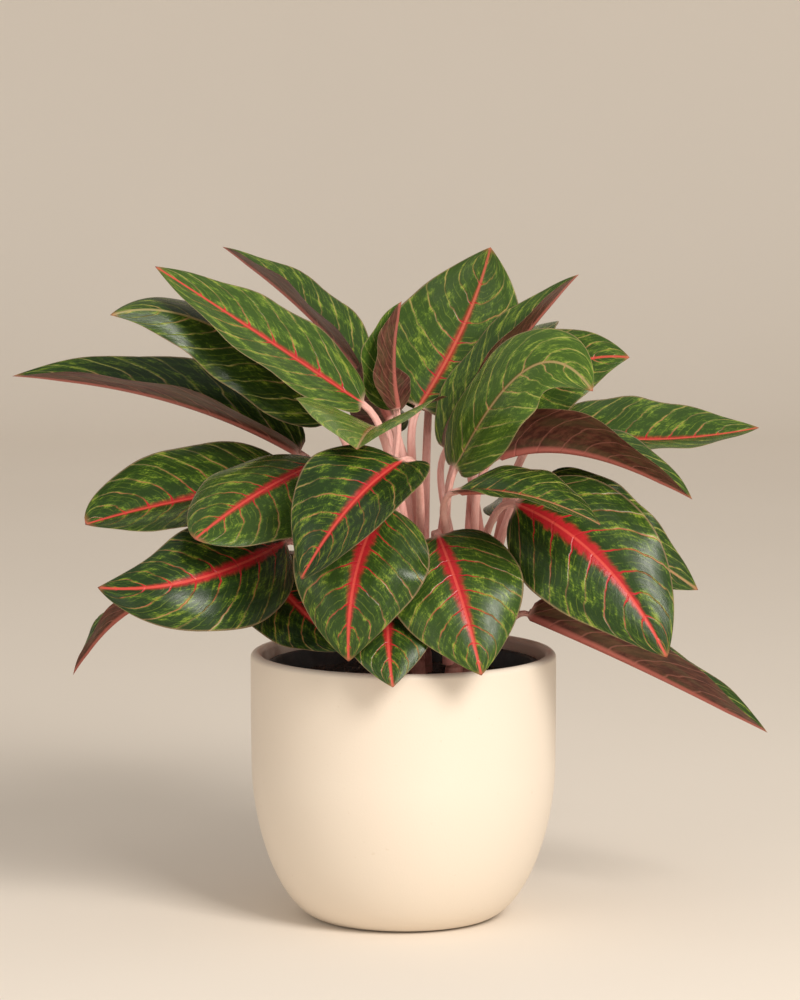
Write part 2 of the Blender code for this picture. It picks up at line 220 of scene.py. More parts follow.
def vein(frequency, sharp, offset):
    """Lines along the side veins: 1 on a vein, 0 between, wider as sharp grows."""
    phase = leaf_nodes.math("MULTIPLY_ADD", vein_line, frequency, offset)
    wave = leaf_nodes.math("ABSOLUTE", leaf_nodes.math("SINE", phase))
    return leaf_nodes.step(wave, sharp, 0.0)


main_vein = vein(VEIN_COUNT, 0.20, 0.0)
fine_vein = vein(3 * VEIN_COUNT, 0.34, 0.6)
vein_glow = vein(VEIN_COUNT, 0.80, 0.0)
broad = leaf_nodes.noise(leaf_place, 5.0, 2.0)
broken = leaf_nodes.step(leaf_nodes.noise(flow, 16.0, 4.0, 0.65), 0.44, 0.60)
streak = leaf_nodes.noise(flow, 30.0, 5.0, 0.7)
speckle = leaf_nodes.noise(leaf_place, 46.0, 5.0, 0.75)
patch_mix = leaf_nodes.math("MULTIPLY_ADD", speckle, 0.45, leaf_nodes.math("MULTIPLY", streak, 0.55))
near_vein = leaf_nodes.math("MULTIPLY_ADD", vein_glow, 0.06, patch_mix)
lush = leaf_nodes.math("MULTIPLY_ADD", leaf_nodes.step(broad, 0.35, 0.65), 0.09, near_vein)
patches = leaf_nodes.step(lush, 0.545, 0.640)
flecks = leaf_nodes.step(lush, 0.625, 0.685)

dark_green = leaf_nodes.mix(broad, (0.006, 0.017, 0.005), (0.020, 0.046, 0.009))
dark_green = leaf_nodes.mix(tone, dark_green, (0.100, 0.190, 0.022))
light_green = leaf_nodes.mix(tone, (0.205, 0.270, 0.022), (0.420, 0.500, 0.090))
mid_green = leaf_nodes.mix(tone, (0.048, 0.098, 0.010), (0.200, 0.320, 0.040))
top = leaf_nodes.mix(leaf_nodes.math("MULTIPLY", patches, 0.85), dark_green, mid_green)
top = leaf_nodes.mix(leaf_nodes.math("MULTIPLY", flecks, 0.80), top, light_green)
pale_vein = leaf_nodes.mix(leaf_nodes.step(spread, 0.15, 0.75), (0.56, 0.33, 0.15), (0.46, 0.46, 0.12))
pink_vein = leaf_nodes.mix(leaf_nodes.step(spread, 0.2, 0.95), (0.50, 0.045, 0.035), (0.48, 0.22, 0.12))
vein_color = leaf_nodes.mix(leaf_nodes.math("MULTIPLY", red, 0.85, clamp=True), pale_vein, pink_vein)
vein_share = leaf_nodes.math("MULTIPLY", main_vein, leaf_nodes.math("MULTIPLY_ADD", broken, 0.60, 0.22))
top = leaf_nodes.mix(vein_share, top, vein_color)
fine_share = leaf_nodes.math("MULTIPLY", leaf_nodes.math("MULTIPLY", fine_vein, broken), 0.40)
top = leaf_nodes.mix(fine_share, top, light_green)

# The red midrib: a band that narrows to the tip, with an edge that feathers out along the veins.
feather = leaf_nodes.math("MULTIPLY_ADD", main_vein, 2.4, leaf_nodes.math("MULTIPLY", streak, 1.9))
band = leaf_nodes.math("MULTIPLY", leaf_nodes.step(along, 1.05, -0.05, 0.30, 1.0), red)
reach = leaf_nodes.math("MULTIPLY", leaf_nodes.math("MULTIPLY", band, feather), 0.118)
from_midrib = leaf_nodes.math("SUBTRACT", spread, reach)
red_share = leaf_nodes.step(from_midrib, 0.055, -0.05)
midrib_red = leaf_nodes.mix(streak, (0.36, 0.005, 0.012), (0.52, 0.032, 0.034))
top = leaf_nodes.mix(red_share, top, midrib_red)
rib_line = leaf_nodes.step(leaf_nodes.math("MULTIPLY", spread, half_mm), 1.1, 0.35)
rib_tint = leaf_nodes.mix(leaf_nodes.math("MULTIPLY", red, 1.6, clamp=True), (0.33, 0.34, 0.14),
                          (0.66, 0.085, 0.060))
top = leaf_nodes.mix(leaf_nodes.math("MULTIPLY", rib_line, 0.8), top, rib_tint)
tip_share = leaf_nodes.step(along, 0.955, 1.0)
top = leaf_nodes.mix(leaf_nodes.math("MULTIPLY", tip_share, 0.8), top, (0.36, 0.13, 0.06))
edge = leaf_nodes.step(spread, 0.955, 0.995)
top = leaf_nodes.mix(leaf_nodes.math("MULTIPLY", edge, 0.55), top, (0.42, 0.27, 0.15))

back = leaf_nodes.mix(leaf_nodes.step(streak, 0.40, 0.65), (0.075, 0.024, 0.016), (0.170, 0.060, 0.038))
back_green = leaf_nodes.mix(broad, (0.075, 0.062, 0.028), (0.130, 0.110, 0.045))
back = leaf_nodes.mix(leaf_nodes.step(broad, 0.42, 0.62, 0.0, 0.42), back, back_green)
back = leaf_nodes.mix(leaf_nodes.math("MULTIPLY", main_vein, 0.55), back, (0.42, 0.16, 0.12))
back_rib = leaf_nodes.step(leaf_nodes.math("MULTIPLY", spread, half_mm), 3.4, 1.6)
back = leaf_nodes.mix(back_rib, back, (0.46, 0.135, 0.105))
blade_color = leaf_nodes.mix(under, top, back)

stalk_noise = leaf_nodes.noise(leaf_nodes.place((1, 1, 0.35)), 420.0, 4.0, 0.7)
stalk_color = leaf_nodes.mix(stalk_noise, (0.76, 0.31, 0.26), (0.95, 0.62, 0.54))
stalk_low = leaf_nodes.step(along, -0.95, -0.35)
stalk_color = leaf_nodes.mix(stalk_low, leaf_nodes.mix(stalk_noise, (0.46, 0.11, 0.09), (0.78, 0.40, 0.33)),
                             stalk_color)
on_stalk = leaf_nodes.step(along, 0.03, -0.015)
leaf_color = leaf_nodes.mix(on_stalk, blade_color, stalk_color)
gloss = leaf_nodes.step(leaf_nodes.noise(leaf_place, 9.0, 3.0), 0.3, 0.7, 0.22, 0.34)
gloss = leaf_nodes.math("MULTIPLY_ADD", under, 0.16, gloss)
leaf_height = leaf_nodes.math("MULTIPLY_ADD", main_vein, -0.8, leaf_nodes.math("MULTIPLY", streak, 0.6))
leaf_nodes.bump(leaf_height, 0.35, 0.0008)
leaf_material = leaf_nodes.finish(leaf_color, gloss, Specular_IOR_Level=0.24)


# ---------------------------------------------------------------- leaves
# The canes' feet and tops, then one row for each leaf: its cane, its seat on the cane (height, angle),
# the blade's base, middle and tip, the way its face looks, its width, the fold and the curl of its
# two halves, and its options, with how red its midrib is and how young and yellow it looks.
SOIL_TOP = 143.0
CANE_RADIUS = 5.6
CANE_TOP_RADIUS = 4.6
STALK_START_RADIUS = 3.1
STALK_END_RADIUS = 2.3
GAP = 0.3
CANES = {
    "cane_front_left": ((8, -14), (5, -18), 206),
    "cane_front_right": ((29, -11), (33, -15), 187),
    "cane_right": ((38, 11), (43, 15), 206),
    "cane_back": ((12, 21), (10, 27), 206),
    "cane_left": ((-7, 3), (-13, 3), 204),
}

LEAVES = [
    ("leaf_top_left_back", "cane_back", (190, 175), (-24, 62, 317), (-63, 82, 356), (-110, 110, 389),
     (0.55, -0.25, 1.0), 52, (38, 32), (-10, -10), {"red": 0.3, "tone": 0.22}),
    ("leaf_top_left_long", "cane_front_left", (196, 145), (-24, -8, 305), (-83, -18, 346),
     (-144, -18, 386), (0.3, -0.8, 0.85), 62, (25, 10), (-15, -20), {"red": 0.7, "tone": 0.32}),
    ("leaf_left_hooked", "cane_left", (196, 235), (-43, -2, 296), (-111, -12, 351), (-169, -35, 359),
     (-0.3, -0.9, 0.9), 58, (0, -20), (-22, -30), {"red": 0.05, "tone": 0.12}),
    ("leaf_left_reaching", "cane_left", (182, 165), (-61, 5, 275), (-140, 15, 306), (-231, 25, 318),
     (0.1, -0.22, 1.0), 66, (38, 38), (-10, -10), {"red": 0.12, "tone": 0.06}),
    ("leaf_left_broad", "cane_left", (172, 205), (-67, -4, 259), (-135, -8, 247), (-185, -25, 236),
     (0.1, -0.8, 0.75), 80, (38, 10), (-15, -25), {"blunt": 0.7, "red": 0.8, "tone": 0.12}),
    ("leaf_left_folded", "cane_front_left", (182, 190), (-47, -30, 274), (-84, -67, 259),
     (-118, -98, 237), (-0.35, -0.9, 0.4), 78, (8, 0), (-25, -40),
     {"blunt": 0.7, "red": 0.85, "tone": 0.25}),
    ("leaf_left_low", "cane_left", (158, 250), (-69, -35, 227), (-121, -87, 212), (-174, -87, 208),
     (-0.1, -1.0, 0.45), 72, (5, 5), (-40, -35), {"red": 1, "tone": 0.05}),
    ("leaf_left_drooping", "cane_left", (148, 175), (-127, 20, 191), (-164, 0, 181), (-194, -10, 145),
     (-0.3, 0.2, 1.0), 38, (30, 30), (-10, -10), {"red": 0.2, "tone": 0.15}),
    ("leaf_left_tucked", "cane_left", (152, 125), (-108, 32, 204), (-143, 26, 198), (-178, 18, 191),
     (-0.2, 0.3, 1.0), 34, (20, 20), (-20, -20), {"red": 0.5, "tone": 0.05}),
    ("leaf_left_shaded", "cane_left", (146, 225), (-83, -20, 213), (-60, -40, 189), (-32, -62, 168),
     (-0.2, -0.8, 0.7), 56, (10, 10), (-20, -20), {"red": 0.9, "tone": 0}),
    ("leaf_front_left", "cane_front_left", (166, 262), (-11, -75, 254), (-27, -105, 218),
     (-31, -110, 169), (-0.1, -1.0, 0.3), 80, (10, 10), (-35, -35), {"red": 1.15, "tone": 0.16}),
    ("leaf_front_upper", "cane_front_left", (190, 308), (-1, -104, 282), (-30, -134, 260),
     (-57, -140, 220), (-0.1, -1.0, 0.35), 78, (40, 5), (10, -35), {"red": 0.75, "tone": 0.05}),
    ("leaf_front_low", "cane_front_left", (148, 205), (-7, -55, 211), (-9, -90, 187), (-6, -115, 155),
     (0, -1.0, 0.5), 66, (10, 10), (-30, -30), {"red": 1.3, "tone": 0.12}),
    ("leaf_front_right", "cane_front_right", (154, 245), (20, -69, 235), (33, -96, 202),
     (44, -110, 161), (0.05, -1.0, 0.4), 80, (8, 8), (-35, -35),
     {"lobe": 0.16, "red": 1.1, "tone": 0.22}),
    ("leaf_right_broad", "cane_front_right", (160, -40), (65, -50, 251), (112, -75, 222),
     (150, -90, 168), (-0.05, -1.0, 0.45), 80, (8, 8), (-30, -30), {"red": 1.3, "tone": 0.1}),
    ("leaf_right_arched", "cane_front_right", (176, 272), (31, -77, 262), (71, -96, 261),
     (111, -105, 246), (0.15, -0.7, 0.9), 64, (5, 45), (-30, -15), {"red": 0.25, "tone": 0.12}),
    ("leaf_right_behind", "cane_right", (176, -45), (83, -8, 261), (126, -13, 229), (173, -6, 195),
     (0.2, -1.0, 0.6), 52, (10, 10), (-20, -20), {"red": 0.2, "tone": 0.1}),
    ("leaf_right_low_long", "cane_right", (147, -15), (74, 20, 177), (143, 15, 145), (215, 0, 109),
     (-0.35, 0.1, 1.0), 66, (34, 50), (-10, -10), {"twist": 30, "red": 0.1, "tone": 0.12}),
    ("leaf_right_small", "cane_right", (156, 35), (61, 28, 206), (74, 38, 204), (86, 45, 197),
     (0.3, 0.9, 0.6), 30, (20, 20), (-10, -10), {"red": 0.2, "tone": 0.2}),
    ("leaf_right_long", "cane_right", (190, 10), (89, 5, 287), (148, 10, 282), (210, 20, 288),
     (0.0, -0.85, 0.75), 70, (5, 52), (-25, -15), {"red": 0.6, "tone": 0.25}),
    ("leaf_right_raised", "cane_front_right", (178, 8), (55, -33, 277), (104, -52, 281),
     (165, -68, 256), (0.1, 0.1, 1.0), 66, (35, 45), (-10, -10),
     {"twist": 35, "red": 0.3, "tone": 0.18}),
    ("leaf_top_right_blunt", "cane_right", (203, 60), (45, 25, 292), (91, 20, 323), (133, 15, 330),
     (0.0, -0.9, 0.7), 66, (10, 15), (-25, -25), {"red": 0.6, "tone": 0.28}),
    ("leaf_top_right_arched", "cane_front_right", (183, 215), (30, -48, 272), (72, -62, 331),
     (107, -88, 320), (-0.1, -0.7, 0.9), 66, (10, 12), (-25, -30),
     {"lobe": 0.12, "red": 0.1, "tone": 0.45}),
    ("leaf_top_right_folded", "cane_front_right", (194, 0), (25, 3, 277), (64, 9, 335),
     (103, 14, 379), (-0.82, -0.25, 0.6), 64, (30, 40), (-10, -10), {"red": 0.2, "tone": 0.25}),
    ("leaf_top_broad", "cane_back", (207, 0), (9, 40, 298), (36, 60, 345), (52, 60, 392),
     (-0.2, -1.0, 0.3), 88, (10, 10), (-25, -25), {"red": 0.5, "tone": 0.3}),
    ("leaf_top_rolled", "cane_left", (205, 0), (-4, 18, 299), (-6, 22, 331), (-1, 29, 362),
     (-0.7, -0.5, 0.2), 40, (60, 60), (20, 20), {"red": 0.3, "tone": 0.45}),
    ("leaf_centre_young", "cane_front_left", (207, 0), (-14, -25, 292), (-20, -75, 296),
     (-26, -125, 291), (0, -0.1, 1.0), 96, (30, 26), (-8, -8), {"red": 0.15, "tone": 0.75}),
    ("leaf_centre_turned", "cane_back", (198, 230), (-8, 32, 292), (-17, 41, 311), (-20, 49, 330),
     (0.2, 1.0, 0.3), 44, (15, 15), (-20, -20), {"red": 0.3, "tone": 0.2}),
    ("leaf_back_right_upper", "cane_back", (178, 30), (40, 55, 283), (68, 95, 297), (88, 150, 272),
     (0, 0.5, 1.0), 60, (20, 20), (-25, -25), {"red": 0.5, "tone": 0.2}),
    ("leaf_back_upright", "cane_back", (184, 80), (15, 60, 294), (19, 110, 329), (23, 180, 323),
     (0, 0.3, 1.0), 64, (20, 20), (-25, -25), {"red": 0.5, "tone": 0.2}),
    ("leaf_back_left_upper", "cane_back", (172, 125), (-6, 68, 280), (-38, 108, 303),
     (-64, 160, 294), (0, 0.5, 1.0), 60, (20, 20), (-25, -25), {"red": 0.5, "tone": 0.2}),
    ("leaf_back_left", "cane_left", (176, 110), (-38, 45, 248), (-72, 90, 252), (-101, 140, 230),
     (-0.1, 0.5, 1.0), 56, (20, 20), (-25, -25), {"red": 0.5, "tone": 0.2}),
    ("leaf_back_right", "cane_right", (174, 85), (56, 58, 230), (94, 96, 236), (131, 130, 213),
     (0.3, 0.5, 1.0), 56, (20, 20), (-25, -25), {"red": 0.5, "tone": 0.2}),
    ("leaf_back_right_low", "cane_right", (150, 110), (34, 45, 200), (71, 100, 192), (107, 140, 168),
     (0.2, 0.6, 1.0), 60, (20, 20), (-25, -25), {"red": 0.5, "tone": 0.2}),
    ("leaf_back_left_low", "cane_back", (158, 170), (-23, 50, 205), (-45, 95, 199), (-67, 145, 177),
     (-0.2, 0.6, 1.0), 60, (20, 20), (-25, -25), {"red": 0.5, "tone": 0.2}),
    ("leaf_back_low", "cane_back", (148, 100), (4, 55, 192), (-2, 110, 188), (-8, 170, 164),
     (0, 0.5, 1.0), 60, (20, 20), (-25, -25), {"red": 0.5, "tone": 0.2}),
    ("leaf_back_top", "cane_right", (194, 125), (52, 60, 312), (68, 95, 337), (78, 150, 326),
     (0, 0.4, 1.0), 56, (20, 20), (-25, -25), {"red": 0.5, "tone": 0.2}),
]
# The fine surface: stations along the stalk and the blade, and points from the midrib to the edge.
STALK_STATIONS = 22
BLADE_STATIONS = 64
ACROSS = [0, 0.04, 0.09, 0.16, 0.25, 0.35, 0.46, 0.57, 0.68, 0.79, 0.88, 0.95, 0.985, 1]


def bezier(points, count):
    """Points along a Bezier curve, evenly spaced by length."""
    steps = np.linspace(0, 1, 240)[:, None]
    degree = len(points) - 1
    line = np.zeros((240, 3))
    for index, point in enumerate(points):
        weight = math.comb(degree, index) * (1 - steps) ** (degree - index) * steps ** index
        line += weight * np.asarray(point, float)
    lengths = np.linalg.norm(np.diff(line, axis=0), axis=1)
    along_line = np.concatenate([[0], np.cumsum(lengths)])
    wanted = np.linspace(0, along_line[-1], count)
    return np.stack([np.interp(wanted, along_line, line[:, axis]) for axis in range(3)], axis=1)


def carry_normals(line, seed_index, seed_normal):
    """The tangents along a line, and a normal carried along it without spin."""
    tangents = np.gradient(line, axis=0)
    tangents /= np.linalg.norm(tangents, axis=1)[:, None]
    normals = np.zeros_like(tangents)
    start = np.asarray(seed_normal, float)
    normals[seed_index] = unit(start - start.dot(tangents[seed_index]) * tangents[seed_index])
    forward = [(index, index - 1) for index in range(seed_index + 1, len(line))]
    backward = [(index, index + 1) for index in range(seed_index - 1, -1, -1)]
    for index, previous in forward + backward:
        normal = normals[previous] - normals[previous].dot(tangents[index]) * tangents[index]
        normals[index] = unit(normal)
    return tangents, normals


def stalk_lean(start, blade_base):
    """The way a stalk sets off from its cane: steeply up, leaning to its leaf."""
    sideways = np.asarray(blade_base, float)[:2] - start[:2]
    rise = max(2.2 * (blade_base[2] - start[2]), 1.5 * np.linalg.norm(sideways))
    return unit([sideways[0], sideways[1], rise])


def stalk_start(cane, height, blade_base, around):
    """Where a stalk starts: beside its cane at an angle around it, or on the cane's top."""
    foot, cane_top, top_height = CANES[cane]
    if height > top_height:
        return np.array([cane_top[0], cane_top[1], top_height + 4 * GAP], float)
    share = (height - SOIL_TOP) / (top_height - SOIL_TOP)
    middle = np.array([foot[0] + (cane_top[0] - foot[0]) * share,
                       foot[1] + (cane_top[1] - foot[1]) * share, height], float)
    lean = stalk_lean(middle, blade_base)
    distance = CANE_RADIUS + (CANE_TOP_RADIUS - CANE_RADIUS) * share
    distance += STALK_START_RADIUS * (0.6 + 0.4 * lean[2]) + GAP
    angle = math.radians(around)
    middle[:2] += np.array([math.cos(angle), math.sin(angle)]) * distance
    return middle


def half_outline(share, blunt):
    """The blade's half width along its midrib, as a share of the widest."""
    rise = 0.55
    share = np.clip(share, 1e-6, 1 - 1e-9)
    widest = rise / (rise + blunt)
    return (share / widest) ** rise * ((1 - share) / (1 - widest)) ** blunt


def bend_half(width, fold, curl):
    """How far out and how far up a half blade's point lies, at a width along its surface."""
    start = math.radians(fold)
    turn = math.radians(curl)
    if abs(turn) < 1e-4:
        return width * math.cos(start), width * math.sin(start)
    out = width / turn * (math.sin(start + turn) - math.sin(start))
    up = -width / turn * (math.cos(start + turn) - math.cos(start))
    return out, up


def make_leaf(row, number):
    """A leaf with its stalk, as one closed piece that carries the numbers its material reads."""
    name, cane, (height, around), base, middle, tip, face, width, fold, curl, extra = row
    random = np.random.default_rng(100 + number)
    base, middle, tip = [np.asarray(point, float) for point in (base, middle, tip)]
    start = stalk_start(cane, height, base, around)
    pull = 2 * middle - (base + tip) / 2
    into_blade = unit(pull - base)
    distance = np.linalg.norm(base - start)
    lean = stalk_lean(start, base)
    stalk = bezier([start, start + lean * 0.45 * distance,
                    base - into_blade * 0.22 * distance, base], STALK_STATIONS)
    blade = bezier([base, pull, tip], BLADE_STATIONS + 1)
    line = np.concatenate([stalk[:-1], blade])
    first = len(stalk) - 1
    tangents, normals = carry_normals(line, first + BLADE_STATIONS // 2, face)
    length = np.linalg.norm(np.diff(blade, axis=0), axis=1).sum()
    top_row = [-value for value in ACROSS[:0:-1]] + ACROSS
    low_row = [-value for value in top_row[1:-1]]
    wave_phase = random.uniform(0, 2 * math.pi, 2)
    wave_count = random.uniform(2.2, 3.4)
    numbers = {label: [] for label in ("along", "across", "under", "half")}
    rings = []
    for index in range(len(line)):
        share = (index - first) / BLADE_STATIONS
        tangent, normal = tangents[index], normals[index]
        side = np.cross(tangent, normal)
        ring = []
        if share <= 0:
            part = index / first
            radius = STALK_START_RADIUS + (STALK_END_RADIUS - STALK_START_RADIUS) * part
            radius *= 1 + 0.14 * max(0, 1 - 6 * part)
            flat = radius * (1 - 0.2 * part)
            channel = 0.30 * smooth_step(0.1, 0.8, part)
            for value in top_row:
                angle = math.radians(90 - 90 * value)
                dip = 1 - channel * math.exp(-(value / 0.35) ** 2)
                ring.append(line[index] + side * radius * math.cos(angle)
                            + normal * flat * math.sin(angle) * dip)
            for value in low_row:
                angle = math.radians(-90 + 90 * value)
                ring.append(line[index] + side * radius * math.cos(angle)
                            + normal * flat * math.sin(angle))
            half = 8.0
        else:
            turn = math.radians(extra.get("twist", 0)) * (share - 0.5)
            face_way = normal * math.cos(turn) + side * math.sin(turn)
            side_way = side * math.cos(turn) - normal * math.sin(turn)
            shape = half_outline(share, extra.get("blunt", 0.95))
            half = max(width / 2 * shape, 0.05)
            sweep = extra.get("lobe", 0.05) * length * shape * max(0, 1 - 3 * share) ** 2
            rib = 2.6 * (1 - share) ** 1.2 + 0.35
            thin = min(1, 6 * (1 - share))
            groove = 1.3 * math.exp(-share / 0.03)

            def surface(value, below):
                spread_to = abs(value)
                half_index = 1 if value >= 0 else 0
                out, up = bend_half(half * spread_to, fold[half_index],
                                    curl[half_index] * spread_to)
                wave = math.sin(2 * math.pi * wave_count * share + wave_phase[half_index])
                up += 1.5 * wave * spread_to ** 2 * shape
                vein_at = (share - VEIN_SLANT * spread_to ** VEIN_BOW) * VEIN_COUNT
                up -= 0.22 * shape * (1 - abs(math.sin(vein_at))) ** 3 * min(1, spread_to * 6)
                near_rib = math.exp(-(half * spread_to / 2.3) ** 2)
                up += groove * near_rib
                if below:
                    up -= 0.55 * (1 - spread_to ** 8) * thin + (rib + groove) * near_rib * thin
                point = line[index] + side_way * math.copysign(out, value) + face_way * up
                return point - tangent * sweep * spread_to ** 1.5

            if index == len(line) - 1:
                ring = [tip] * (len(top_row) + len(low_row))
            else:
                ring = [surface(value, False) for value in top_row]
                ring += [surface(value, True) for value in low_row]
        rings.append(np.array(ring[::-1]) * MM)
        numbers["along"] += [share if share > 0 else index / first - 1] * len(ring)
        numbers["across"] += (top_row + low_row)[::-1]
        numbers["under"] += ([0.0] * len(top_row) + [1.0] * len(low_row))[::-1]
        numbers["half"] += [half] * len(ring)
    total = len(numbers["along"])
    numbers["red"] = [extra["red"]] * total
    numbers["tone"] = [extra["tone"]] * total
    numbers["seed"] = [3.0 * number] * total
    piece_from_grid("visual_" + name, rings, False, [name], leaf_material, numbers)


for leaf_number, leaf_row in enumerate(LEAVES):
    make_leaf(leaf_row, leaf_number)


# ---------------------------------------------------------------- canes
# Short, ringed, dark red to pink canes, which start a little under the soil's top. Old leaf scars
# are shallow waists at even steps, and the top is drawn in.
CANE_STATIONS = 60
CANE_STEPS = 32
CANE_SUNK = 3.0
CANE_SCARS = 4.5
cane_nodes = Nodes("cane_skin")
cane_place = cane_nodes.place()
cane_noise = cane_nodes.noise(cane_place, 300.0, 4.0, 0.7)
cane_rings = cane_nodes.noise(cane_nodes.place((0.15, 0.15, 1)), 420.0, 2.0)
cane_color = cane_nodes.mix(cane_noise, (0.22, 0.05, 0.036), (0.52, 0.24, 0.18))
cane_bands = cane_nodes.step(cane_rings, 0.55, 0.75, 0.0, 0.6)
cane_color = cane_nodes.mix(cane_bands, cane_color, (0.20, 0.12, 0.05))
cane_nodes.bump(cane_rings, 0.5, 0.001)
cane_material = cane_nodes.finish(cane_color, 0.5)
for cane_name, (foot, cane_top, top_height) in CANES.items():
    low_point = np.array([foot[0], foot[1], SOIL_TOP - CANE_SUNK])
    high_point = np.array([cane_top[0], cane_top[1], top_height], float)
    cane_loops = []
    for share in np.linspace(0, 1, CANE_STATIONS):
        radius = CANE_RADIUS + (CANE_TOP_RADIUS - CANE_RADIUS) * share - 0.15
        scar = abs(math.sin(share * math.pi * CANE_SCARS))
        radius -= 0.35 * (1 - smooth_step(0.0, 0.25, scar))
        if share > 0.97:
            radius *= 0.9
        ring = []
        for step in range(CANE_STEPS):
            angle = 2 * math.pi * step / CANE_STEPS
            ring.append(low_point + (high_point - low_point) * share
                        + radius * np.array([math.cos(angle), math.sin(angle), 0]))
        cane_loops.append(np.array(ring)[::-1] * MM)
    piece_from_grid("visual_" + cane_name, cane_loops, True, [cane_name], cane_material)


# ---------------------------------------------------------------- ceramic pot
# A turned pot with a rounded lip and a round foot, on the solid model's profile, with a cream,
# matt, slightly uneven glaze. Its height and its width come from the frame.
pot_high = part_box("ceramic_pot")[1]
POT_HEIGHT = pot_high[2] / MM
POT_RADIUS = pot_high[0] / MM
POT_WALL = 6.6
POT_FLOOR = 10.0
POT_FLOOR_RADIUS = 53.0
POT_FOOT_RADIUS = 48.0
POT_STEPS = 160


def pot_outside(height):
    """The ceramic pot's outer radius at a height: nearly straight, then round to the foot."""
    upper = 90.0
    taper_start = 34.0
    taper = 1.2 * max(0, POT_HEIGHT - height - taper_start) / (POT_HEIGHT - taper_start)
    if height >= upper:
        return POT_RADIUS - taper
    fall = ((upper - height) / upper) ** 1.85
    round_part = (POT_RADIUS - POT_FOOT_RADIUS) * (1 - fall) ** (1 / 1.85)
    return POT_FOOT_RADIUS + round_part - taper * (1 - fall)


clay = Nodes("cream_glaze")
clay_place = clay.place()
clay_soft = clay.noise(clay_place, 9.0, 3.0)
clay_grain = clay.noise(clay_place, 900.0, 3.0, 0.6)
clay_color = clay.mix(clay_soft, (0.80, 0.695, 0.575), (0.84, 0.745, 0.625))
clay_spot = clay.step(clay.noise(clay_place, 260.0, 2.0), 0.70, 0.78, 0.0, 0.25)
clay_color = clay.mix(clay_spot, clay_color, (0.66, 0.53, 0.38))
clay_relief = clay.math("MULTIPLY_ADD", clay.noise(clay_place, 30.0, 2.0), 1.6, clay_grain)
clay.bump(clay_relief, 0.10, 0.0008)
clay_material = clay.finish(clay_color, clay.step(clay_soft, 0.3, 0.7, 0.42, 0.52))
profile = [(0.001, POT_FLOOR), (POT_FLOOR_RADIUS * 0.6, POT_FLOOR), (POT_FLOOR_RADIUS, POT_FLOOR)]
for height in np.linspace(14, POT_HEIGHT - 5, 40):
    profile.append((pot_outside(height) - POT_WALL, height))
lip_radius = POT_WALL / 2
lip_middle = POT_RADIUS - lip_radius
for angle in np.radians(np.linspace(180, 0, 21)):
    profile.append((lip_middle + lip_radius * math.cos(angle),
                    POT_HEIGHT - lip_radius + lip_radius * math.sin(angle)))
for height in np.concatenate([np.linspace(POT_HEIGHT - 8, 20, 44), np.linspace(18, 1.2, 18)]):
    profile.append((pot_outside(height), height))
profile += [(POT_FOOT_RADIUS + 1.5, 0.3), (POT_FOOT_RADIUS, 0.0), (POT_FOOT_RADIUS * 0.6, 0.0),
            (0.001, 0.0)]
pot_rings = []
for radius, height in profile:
    angles = np.linspace(0, 2 * math.pi, POT_STEPS, endpoint=False)
    ring = np.stack([radius * np.cos(angles), radius * np.sin(angles),
                     np.full(POT_STEPS, height)], axis=1)
    pot_rings.append(ring * MM)
piece_from_grid("visual_ceramic_pot", pot_rings, True, ["ceramic_pot"],
                clay_material)


# ---------------------------------------------------------------- nursery pot
# The black plastic pot keeps its solid shape. Little more than its rim shows. It gets a moulded
# plastic finish with a fine grain and a little dust.
plastic = Nodes("moulded_plastic")
plastic_place = plastic.place()
plastic_grain = plastic.noise(plastic_place, 1400.0, 2.0)
plastic_dust = plastic.noise(plastic_place, 60.0, 4.0, 0.7)
plastic_color = plastic.mix(plastic.step(plastic_dust, 0.45, 0.75), (0.022, 0.021, 0.020),
                            (0.060, 0.052, 0.045))
plastic.bump(plastic_grain, 0.25, 0.0004)
plastic_material = plastic.finish(plastic_color, 0.48)
for material_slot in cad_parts["nursery_pot"].material_slots:
    material_slot.material = plastic_material


# ---------------------------------------------------------------- soil
# Dark potting soil: an uneven top that sinks to the pot's wall, with small crumbs scattered on it,
# some of them pale.
SOIL_STEPS = 96
SOIL_EDGE_RADIUS = 75.0
earth = Nodes("potting_soil")
earth_place = earth.place()
earth_noise = earth.noise(earth_place, 260.0, 6.0, 0.75)
earth_color = earth.mix(earth.step(earth_noise, 0.38, 0.66), (0.006, 0.004, 0.003), (0.050, 0.031, 0.020))
earth.bump(earth_noise, 0.9, 0.003)
earth_material = earth.finish(earth_color, 0.92)
crumb = Nodes("soil_crumb")
crumb_noise = crumb.noise(crumb.place(), 170.0, 2.0, 0.6)
crumb_color = crumb.mix(crumb.step(crumb_noise, 0.40, 0.58), (0.020, 0.013, 0.009), (0.110, 0.060, 0.036))
crumb_color = crumb.mix(crumb.step(crumb_noise, 0.64, 0.68), crumb_color, (0.36, 0.27, 0.18))
crumb_material = crumb.finish(crumb_color, 0.88)

